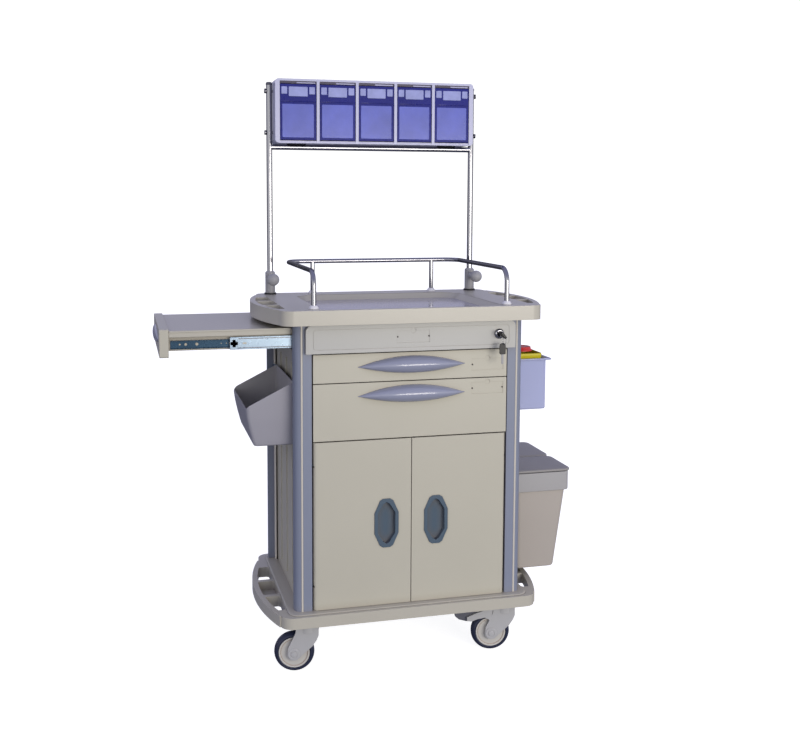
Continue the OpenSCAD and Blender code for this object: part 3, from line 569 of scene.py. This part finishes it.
HANDLE_RISE, HANDLE_FALL = 25, 19
GRIP_Z = 832
for level in ("shallow", "deep"):
    node = f"{level}_drawer_handle"
    low, high = cabinet_box(node)
    centre_z = low.z + (high.z - low.z) * (HANDLE_FALL / (HANDLE_RISE + HANDLE_FALL))
    boat_handle(f"{level}_handle_shell", node, f"{level}_drawer", Vector((0, 0, centre_z)), high.x,
                HANDLE_RISE, HANDLE_FALL, 28, lambda along, out, up: Vector((along, out, up)))
grip_low, grip_high = cabinet_box("shelf_grip")
boat_handle("shelf_grip_shell", "shelf_grip", "side_shelf",
            Vector((grip_high.x, (grip_low.y + grip_high.y) / 2, GRIP_Z)),
            (grip_high.y - grip_low.y) / 2, 20, 20, 9,
            lambda along, out, up: Vector((out, -along, up)))


def spare_key():
    """A thin ring through the key's bow, and a second key that hangs from it."""
    lock = in_cabinet(JOINTS["lock_turn"]["pos_m"])
    hole = Vector((lock.x + 3.2, cabinet_box("front_key")[0].y + 5, lock.z - 3.8))
    ring_radius, wire = 10.0, 0.55
    middle = hole - Vector((0, 0, ring_radius))
    rings = bmesh.new()
    section = arc((ring_radius, 0), wire, 0, 360, 8)[:-1]
    lathe(section, middle, (1, -1, 0), 48, rings)
    add_piece("key_ring", rings, CHROME, "lock")
    top = middle.z - ring_radius + 4
    x, y = hole.x - 5, hole.y
    bow = plate_facing(x - 8, top - 28, x + 8, top, y - 1.5, y + 1.5, (3.0, 3.0, 7.0, 7.0))
    add_piece("spare_key_bow", bow, BLACK, "lock", 0.7, 2)
    blade = plate_facing(x - 2.6, top - 52, x + 2.6, top - 27, y - 0.8, y + 0.8, 0.8)
    add_piece("spare_key_blade", blade, CLAMP, "lock")


def key_head():
    """Moulded head of the key in the lock; it leans down to the right."""
    lock = in_cabinet(JOINTS["lock_turn"]["pos_m"])
    y0 = cabinet_box("front_key")[0].y
    lean = Matrix.Rotation(math.radians(-40), 3, "Y")
    rings = []
    for x, inset in ((-3.2, 1.2), (-2.4, 0), (2.4, 0), (3.2, 1.2)):
        outline = rounded(y0 + inset, -11 + inset, y0 + 19 - inset, 11 - inset, 5)
        rings.append([Vector((lock.x, 0, lock.z)) + lean @ Vector((x, y, z))
                      for y, z in outline])
    add_piece("key_head", loft(rings), BLACK, "lock", 0.4, 2)


def lock_dome():
    """Turned cap round the plug of the lock."""
    lock = in_cabinet(JOINTS["lock_turn"]["pos_m"])
    front = cabinet_box("lock_housing")[0].y
    profile = [(6.3, front + 1), (12.6, front + 3.2), (12.6, front + 1.6), (11.4, front - 1.2),
               (9.5, front - 2.4), (7.0, front - 2.6), (6.3, front - 1.8)]
    cap = lathe([(r, -h) for r, h in profile], (lock.x, 0, lock.z), (0, -1, 0), 48)
    add_piece("lock_cap", cap, CHROME, "cabinet")


spare_key()
key_head()
lock_dome()


# ------------------------------------------------------------------ label pockets and screws


def label_screws():
    """Small dark screws at both ends of each label pocket."""
    drawer_label_x, spacing = 197, 40
    places = {
        "cabinet": (0, 834, cabinet_box("fascia")[0].y),
        "shallow_drawer": (drawer_label_x, 757, 0),
        "deep_drawer": (drawer_label_x, 697, 0),
    }
    for body, (x, z, y) in places.items():
        screws = bmesh.new()
        for side in (-1, 1):
            head = [(0, 0.4), (1.2, 0.4), (1.9, -0.1), (1.9, -1.4), (0, -1.4)]
            lathe(head, (x + side * spacing, y, z), (0, -1, 0), 20, screws)
        add_piece(f"label_screws_{body}", screws, SCREW, body)


label_screws()


# ------------------------------------------------------------------ overhead rack

HOUSING_LOW, HOUSING_HIGH = cabinet_box("bin_housing")
BIN_FRONT = HOUSING_LOW.y + 2
BIN_HALF = 50.0
POST_RADIUS = 8
SADDLE_X, SADDLE_LENGTH, SADDLE_WIDTH = 216, 52, 19


def bin_front(number):
    """Finger tabs, label line and clear window on the front of a tilt bin."""
    body = f"bin_{number}"
    x = in_cabinet(JOINTS[f"bin_{number}_tilt"]["pos_m"]).x
    floor = HOUSING_LOW.z + 9
    tab_top, side_tab, wide_tab = 142, 122, 116
    tabs = bmesh.new()
    for x0, x1, z0 in ((-BIN_HALF + 4, -BIN_HALF + 20, side_tab), (-26, 26, wide_tab),
                       (BIN_HALF - 20, BIN_HALF - 4, side_tab)):
        outline = rounded(x + x0, floor + z0, x + x1, floor + tab_top, 2)
        rings = [facing_ring(outline, BIN_FRONT + 0.3), facing_ring(outline, BIN_FRONT - 1.6)]
        loft(rings, shape=tabs)
    add_piece(f"bin_tabs_{number}", tabs, TAB_BLUE, body, 0.8, 2)
    window = plate_facing(x - 44, floor + 6, x + 43, floor + 96, BIN_FRONT - 1.3,
                          BIN_FRONT + 0.4, 3)
    add_piece(f"bin_window_{number}", window, WINDOW_BLUE, body, 0.6, 2)
    ledge = plate_facing(x - BIN_HALF, floor + 102, x + BIN_HALF, floor + 104.6,
                         BIN_FRONT - 1.5, BIN_FRONT + 0.4, 0.8)
    add_piece(f"bin_ledge_{number}", ledge, BIN_BLUE, body)


def hex_prism(centre, axis, radius, length, shape):
    turn = Vector(axis).to_track_quat("Z", "Y").to_matrix()
    rings = []
    for height, r in ((0, radius), (length - 0.6, radius), (length, radius - 0.7)):
        rings.append([
            Vector(centre) + turn @ Vector((r * math.cos(math.radians(60 * k)),
                                            r * math.sin(math.radians(60 * k)), height))
            for k in range(6)
        ])
    loft(rings, shape=shape)


def rack_fittings():
    """Hexagon bolts of the rack, saddles on its rail, and plugs in the tops of its posts."""
    rack_low, rack_high = cabinet_box("rack_frame")
    post_x = in_cabinet(JOINTS["knob_right_turn"]["pos_m"]).x
    post_y = (rack_low.y + rack_high.y) / 2
    bolts = bmesh.new()
    for sx in (-1, 1):
        for rise in (30, 142):
            hex_prism((sx * (post_x + POST_RADIUS), post_y, HOUSING_LOW.z + rise), (sx, 0, 0),
                      7, 5, bolts)
    add_piece("rack_bolts", bolts, CHROME, "rack")
    saddles = bmesh.new()
    for sx in (-1, 1):
        outline = rounded(sx * SADDLE_X - SADDLE_LENGTH / 2, post_y - SADDLE_WIDTH / 2,
                          sx * SADDLE_X + SADDLE_LENGTH / 2, post_y + SADDLE_WIDTH / 2, 6)
        loft([flat_ring(outline, HOUSING_LOW.z - 3.5), flat_ring(outline, HOUSING_LOW.z - 0.2)],
             shape=saddles)
    add_piece("rack_saddles", saddles, BLACK, "rack")
    plugs = bmesh.new()
    for sx in (-1, 1):
        cap = [(0, rack_high.z + 3.4), (5, rack_high.z + 3.0), (8.0, rack_high.z + 1.4),
               (8.5, rack_high.z - 0.2), (8.5, rack_high.z - 5), (8.1, rack_high.z - 5.4),
               (0, rack_high.z - 5.4)]
        lathe(cap, (sx * post_x, post_y, 0), (0, 0, 1), 40, plugs)
    add_piece("post_plugs", plugs, PEDAL, "rack")


def cell_edges():
    """Pale sills under the bins; a dark strip painted as the shadow under the housing's top, with a
    pale strip painted as a highlight on its right.
    """
    sills, top_shadows, glints = bmesh.new(), bmesh.new(), bmesh.new()
    low, high = HOUSING_LOW.z, HOUSING_HIGH.z
    y = HOUSING_LOW.y
    for number in BINS:
        x = in_cabinet(JOINTS[f"bin_{number}_tilt"]["pos_m"]).x
        # The sills are real; the strip under the top is painted shadow, and the short pale strip on
        # its right is a painted highlight.
        for shape, x0, x1, z0, z1, front in (
                (sills, -50.4, 50.4, low + 2.8, low + 7.0, 1.5),
                (top_shadows, -50.4, 50.4, high - 12.5, high - 5.8, 3.0),
                (glints, -4, 47, high - 12.0, high - 8.5, 2.4)):
            outline = rounded(x + x0, z0, x + x1, z1, 0.6)
            loft([facing_ring(outline, y + front), facing_ring(outline, y + front + 1.8)],
                 shape=shape)
    add_piece("bin_floor_sills", sills, SILL_AND_HIGHLIGHT_LAVENDER, "rack", 0.4, 2)
    add_piece("bin_top_painted_shadows", top_shadows, TOP_SHADOW_VIOLET, "rack")
    add_piece("bin_top_painted_highlights", glints, SILL_AND_HIGHLIGHT_LAVENDER, "rack", 0.4, 2)


for number in BINS:
    bin_front(number)
cell_edges()
rack_fittings()


# ------------------------------------------------------------------ side bins

WASTE_RIM_LOW, WASTE_CORNER = 389, 18


def utility_bin():
    """Sloping-mouthed bin on the left side, with a bellied outer wall."""
    low, high = cabinet_box("utility_bin")
    y0, y1 = low.y, high.y
    inner_x, floor_z = high.x, low.z
    reach = low.x
    belly, belly_height = 20, 92.0
    mouth_low, mouth_rise = 658, 65
    wall_levels = (585, 605, 625, 640)
    above_belly = 700

    def outer_x(z):
        share = (z - floor_z) / belly_height
        return reach + belly * (1 - share) ** 1.4 if share < 1 else reach

    def ring(z, inset):
        taper = 6 * max(0.0, 1 - (z - floor_z) / 90.0)
        x = outer_x(z) + inset
        corner = 9 - inset * 0.5
        return rounded(x, y0 + inset + taper, inner_x - inset, y1 - inset - taper,
                       (corner, 3, 3, corner), 5)

    def mouth(inset, lift):
        points = []
        for x, y in ring(above_belly, inset):
            share = (x - reach) / (inner_x - reach)
            points.append(Vector((x, y, mouth_low + mouth_rise * share ** 0.70 + lift)))
        return points

    outside = [flat_ring(ring(floor_z + 0.01, 5), floor_z),
               flat_ring(ring(floor_z + 2, 1.5), floor_z + 1.4),
               flat_ring(ring(floor_z + 5, 0), floor_z + 5)]
    outside += [flat_ring(ring(z, 0), z) for z in wall_levels]
    outside.append(mouth(0, -0.8))
    lip = [mouth(1.0, 0.0), mouth(2.2, -0.5)]
    inside = [flat_ring(ring(z, 3), z) for z in (floor_z + 4, *wall_levels)]
    shell = open_box(outside + lip, inside)
    thing = add_piece("utility_bin_shell", shell, UTILITY, "cabinet",
                      replaces=("utility_bin",))
    thing.data.materials.append(UTILITY_INSIDE)
    count = len(outside[0])
    first_inside = (len(outside) + len(lip) - 1) * count
    for polygon in thing.data.polygons:
        if min(polygon.vertices) >= first_inside:
            polygon.material_index = 1


def waste_bin(end):
    """Tapered bin with a rim band, rounded at its corners, as wide as its lid."""
    low, high = cabinet_box("waste_bins")
    lid_low, lid_high = cabinet_box(f"waste_lid_{end}")
    y0, y1 = lid_low.y + 1, lid_high.y - 1
    x0, x1 = low.x, high.x
    rim_top, rim_low, middle, floor = high.z, WASTE_RIM_LOW, 300, low.z

    def body_ring(z, inset):
        share = (rim_low + 12 - z) / (rim_low + 12 - floor)
        return rounded(x0 + 8 + 6 * share + inset, y0 + 5 + 9 * share + inset,
                       x1 - 7 - 28 * share - inset, y1 - 5 - 9 * share - inset, 16 - inset * 0.6)

    outside = [flat_ring(body_ring(floor, 4), floor), flat_ring(body_ring(floor, 1.2), floor + 1.2),
               flat_ring(body_ring(floor + 4, 0), floor + 4),
               flat_ring(body_ring(middle, 0), middle),
               flat_ring(body_ring(rim_low + 1, 0), rim_low + 1)]
    inside = [flat_ring(body_ring(z, 2.5), z) for z in (floor + 3, middle, rim_low + 1)]
    add_piece(f"waste_{end}_body", open_box(outside, inside), WASTE, "cabinet",
              replaces=("waste_bins",))
    radius = WASTE_CORNER
    band = [flat_ring(rounded(x0 + i, y0 + i, x1 - i, y1 - i, radius - i), z)
            for i, z in ((6, rim_low), (1.2, rim_low), (0, rim_low + 1.4), (0, rim_top - 3),
                         (1.0, rim_top - 1), (3, rim_top - 1), (6, rim_top - 2))]
    band.append(flat_ring(rounded(x0 + 6, y0 + 6, x1 - 6, y1 - 6, radius - 6), rim_low + 2))
    add_piece(f"waste_{end}_rim", loft_closed(band), WASTE_RIM, "cabinet")


def waste_lid(end):
    """Shallow crowned lid with a turned-down edge."""
    node = f"waste_lid_{end}"
    low, high = cabinet_box(node)
    top = high.z
    radius = WASTE_CORNER

    def ring(inset, z):
        return flat_ring(rounded(low.x + inset, low.y + inset, high.x - inset, high.y - inset,
                                 (4, radius - inset * 0.6, radius - inset * 0.6, 4)), z)

    outside = [ring(3.0, low.z + 3), ring(2.5, low.z + 0.2), ring(0.6, low.z), ring(0, low.z + 1.2),
               ring(0, top - 4), ring(0.8, top - 2.4), ring(2.6, top - 1.4), ring(8, top - 0.6),
               ring(30, top)]
    add_piece(f"lid_shell_{end}", loft(outside), WASTE_LID, node, replaces=(node,))


def sharps():
    """Acrylic holder with a flange, the yellow container in it and its red lid."""
    low, high = cabinet_box("sharps_holder")
    flange = 11
    box_low = low.y + flange
    box_high = high.y - flange
    x1 = high.x - flange

    def ring(inset, z):
        return flat_ring(rounded(low.x + inset, box_low + inset, x1 - inset, box_high - inset,
                                 9 - inset * 0.5), z)

    flange_z = high.z
    outside = [ring(5, low.z), ring(1.4, low.z + 1.3), ring(0, low.z + 5), ring(0, flange_z - 6)]
    rim = [flat_ring(rounded(low.x, low.y + i, high.x - i, high.y - i, 7), z)
           for i, z in ((1, flange_z - 4), (0, flange_z - 2.4), (0, flange_z - 0.6),
                        (1, flange_z))]
    inside = [ring(2.5, z) for z in (low.z + 3, flange_z)]
    add_piece("sharps_holder_shell", open_box(outside + rim, inside), SHARPS_FRAME, "cabinet",
              replaces=("sharps_holder",))
    can_low, can_high = cabinet_box("sharps_container")

    def can(inset, z):
        return flat_ring(rounded(can_low.x + inset, can_low.y + inset, can_high.x - inset,
                                 can_high.y - inset, 10 - inset * 0.5), z)

    outside = [can(4, can_low.z), can(1, can_low.z + 1), can(2, can_low.z + 4),
               can(2, can_high.z - 12), can(0.3, can_high.z - 10), can(0, can_high.z - 3),
               can(0.8, can_high.z)]
    inside = [can(3.5, can_low.z + 3), can(3.5, can_high.z - 0.2)]
    add_piece("sharps_can", open_box(outside, inside), YELLOW, "sharps_container",
              replaces=("sharps_container",))
    lid_low, lid_high = cabinet_box("sharps_lid")
    middle = Vector(((lid_low.x + lid_high.x) / 2, (lid_low.y + lid_high.y) / 2, 0))
    radius, z = (lid_high.x - lid_low.x) / 2, lid_low.z
    profile = [(0, z + 0.2), (radius - 0.6, z + 0.2), (radius, z + 1.2), (radius - 0.4, z + 4),
               (radius - 3.5, z + 5.2), (radius - 4.2, z + 11), (radius - 5.4, z + 12),
               (radius - 9, z + 12), (radius - 10, z + 10.5), (0, z + 10.5)]
    add_piece("sharps_cap", lathe(profile, middle, (0, 0, 1)), RED, "sharps_lid",
              replaces=("sharps_lid",))


utility_bin()
for end in ("front", "rear"):
    waste_bin(end)
for end in ("front", "rear"):
    waste_lid(end)
sharps()


# ------------------------------------------------------------------ side shelf


def shelf_details():
    """Edge line of the board, holes of the inner slide and the retainer of the middle slide."""
    board_low, board_high = cabinet_box("shelf_board")
    runner_low, runner_high = cabinet_box("shelf_runners")
    z = (runner_low.z + runner_high.z) / 2
    face = board_low.y
    lip = plate_facing(board_low.x + 1, board_high.z - 4.2, board_high.x, board_high.z - 0.4,
                       face - 1.6, face + 1, 0.6)
    add_piece("shelf_lip", lip, DECK_CREAM, "side_shelf", 0.4, 2)
    holes = bmesh.new()
    front_web = runner_low.y + 8.6
    for x, radius in ((22, 2.2), (36, 3.2), (62, 3.6), (120, 1.4), (132, 1.4), (139, 1.4)):
        head = [(0, 0.5), (radius - 0.4, 0.5), (radius, 0.1), (radius, -0.8), (0, -0.8)]
        lathe(head, (runner_low.x + x, front_web, z), (0, -1, 0), 20, holes)
    add_piece("slide_holes", holes, BRASS_DOT, "side_shelf")
    middle_low, middle_high = cabinet_box("shelf_middle_slides")
    keeper = plate_facing(middle_low.x - 1, z - 14.2, middle_low.x + 17, z + 14.2,
                          middle_low.y - 0.6, middle_low.y + 0.3, 2)
    add_piece("slide_keeper", keeper, ZINC, "middle_slides", 0.3, 2)
    cross = bmesh.new()
    for w, h in ((4, 9), (9, 4)):
        outline = rounded(middle_low.x + 9 - w, z - h, middle_low.x + 9 + w, z + h, 1.5)
        loft([facing_ring(outline, middle_low.y - 0.2), facing_ring(outline, middle_low.y - 0.6)],
             shape=cross)
    add_piece("slide_cross", cross, BLACK, "middle_slides")
    ribs = bmesh.new()
    for rise in (-11.2, 11.2):
        outline = rounded(middle_low.x + 18, z + rise - 1.1, middle_high.x - 4, z + rise + 1.1, 1)
        loft([facing_ring(outline, middle_low.y + 0.2), facing_ring(outline, middle_low.y - 0.7)],
             shape=ribs)
    add_piece("slide_ribs", ribs, CHROME, "middle_slides", 0.3, 2)
    slot_x = middle_low.x + 34
    slot = plate_facing(slot_x - 5, z - 2, slot_x + 5, z + 2, middle_low.y - 0.4,
                        middle_low.y + 0.1, 2)
    add_piece("slide_slots", slot, BRASS_DOT, "middle_slides")


shelf_details()


# ------------------------------------------------------------------ stage, lights and camera


def soft_light(name, where, aim, size, watts, colour):
    data = bpy.data.lights.new(name, "AREA")
    data.shape = "RECTANGLE"
    data.size, data.size_y = size
    data.energy = watts
    data.color = colour
    lamp = bpy.data.objects.new(name, data)
    bpy.context.scene.collection.objects.link(lamp)
    lamp.location = where
    lamp.rotation_euler = (Vector(aim) - Vector(where)).to_track_quat("-Z", "Y").to_euler()


def stage():
    """A pale floor that the camera sees as white and the trolley isn't lit by."""
    shape = bmesh.new()
    bmesh.ops.create_grid(shape, x_segments=2, y_segments=2, size=30)
    mesh = bpy.data.meshes.new("floor")
    shape.to_mesh(mesh)
    shape.free()
    floor = bpy.data.objects.new("floor", mesh)
    floor.location.z = cad_low.z
    bpy.context.scene.collection.objects.link(floor)
    material = surface("pale_floor", (0.60, 0.60, 0.60), 0.85, mottle=0.004, grain=0.0)
    principled = material.node_tree.nodes["Principled BSDF"]
    principled.inputs["Emission Color"].default_value = (1, 1, 1, 1)
    principled.inputs["Emission Strength"].default_value = 0.85
    mesh.materials.append(material)
    floor.visible_diffuse = False
    floor.visible_glossy = False


def colour_ramp(nodes, stops):
    ramp = nodes.new("ShaderNodeValToRGB")
    elements = ramp.color_ramp.elements
    elements[0].position, elements[0].color = stops[0][0], (*stops[0][1], 1)
    elements[1].position, elements[1].color = stops[-1][0], (*stops[-1][1], 1)
    for position, colour in stops[1:-1]:
        elements.new(position).color = (*colour, 1)
    return ramp


def studio_sky():
    """White in front, dim lavender behind and overhead, dark below; plain white to the camera."""
    world = bpy.data.worlds.new("studio")
    bpy.context.scene.world = world
    world.use_nodes = True
    nodes, links = world.node_tree.nodes, world.node_tree.links
    where = nodes.new("ShaderNodeTexCoord")
    split = nodes.new("ShaderNodeSeparateXYZ")
    links.new(where.outputs["Generated"], split.inputs["Vector"])
    height = nodes.new("ShaderNodeMapRange")
    height.inputs["From Min"].default_value = -1.0
    links.new(split.outputs["Z"], height.inputs["Value"])
    front = colour_ramp(nodes, ((0.0, (0.10, 0.11, 0.17)), (0.40, (0.14, 0.15, 0.20)),
                                (0.45, (1, 1, 1)), (0.60, (1, 1, 1)), (0.80, (0.40, 0.41, 0.58)),
                                (1.0, (0.36, 0.37, 0.58))))
    back = colour_ramp(nodes, ((0.0, (0.10, 0.11, 0.17)), (0.45, (0.12, 0.12, 0.17)),
                               (0.50, (0.20, 0.20, 0.27)), (0.56, (0.42, 0.42, 0.54)),
                               (0.70, (0.40, 0.40, 0.53)), (1.0, (0.36, 0.37, 0.58))))
    links.new(height.outputs["Result"], front.inputs["Fac"])
    links.new(height.outputs["Result"], back.inputs["Fac"])
    behind = nodes.new("ShaderNodeMapRange")
    behind.inputs["From Min"].default_value = -0.40
    behind.inputs["From Max"].default_value = 0.20
    links.new(split.outputs["Y"], behind.inputs["Value"])
    blend = nodes.new("ShaderNodeMix")
    blend.data_type = "RGBA"
    links.new(behind.outputs["Result"], blend.inputs["Factor"])
    links.new(front.outputs["Color"], blend.inputs["A"])
    links.new(back.outputs["Color"], blend.inputs["B"])
    seen = nodes.new("ShaderNodeLightPath")
    plain = nodes.new("ShaderNodeMix")
    plain.data_type = "RGBA"
    plain.inputs["B"].default_value = (1, 1, 1, 1)
    links.new(seen.outputs["Is Camera Ray"], plain.inputs["Factor"])
    links.new(blend.outputs["Result"], plain.inputs["A"])
    background = nodes["Background"]
    background.inputs["Strength"].default_value = 1.15
    links.new(plain.outputs["Result"], background.inputs["Color"])


KEY_AT, KEY_AIM = (1.0, -3.0, 0.98), (0, 0, 0.75)
KEY_SIZE, KEY_WATTS, KEY_COLOUR = (1.7, 0.85), 41, (1.0, 0.94, 0.84)
stage()
studio_sky()
soft_light("key", KEY_AT, KEY_AIM, KEY_SIZE, KEY_WATTS, KEY_COLOUR)
bpy.context.scene.view_settings.view_transform = "Standard"

CAMERA_AT = (-691.6, -2342.1, 1165.5)
CAMERA_YAW, CAMERA_PITCH, CAMERA_ROLL = 13.89, -5.13, 0.11
CAMERA_LENS, CAMERA_SHIFT = 45.07, (0.040, -0.103)
camera_data = bpy.data.cameras.new("camera")
camera_data.lens = CAMERA_LENS
camera_data.shift_x, camera_data.shift_y = CAMERA_SHIFT
camera = bpy.data.objects.new("camera", camera_data)
bpy.context.scene.collection.objects.link(camera)
camera.location = place(*CAMERA_AT)
camera.rotation_euler = (
    Matrix.Rotation(math.radians(-CAMERA_YAW), 3, "Z")
    @ Matrix.Rotation(math.radians(90 + CAMERA_PITCH), 3, "X")
    @ Matrix.Rotation(math.radians(CAMERA_ROLL), 3, "Z")
).to_euler()
bpy.context.scene.camera = camera
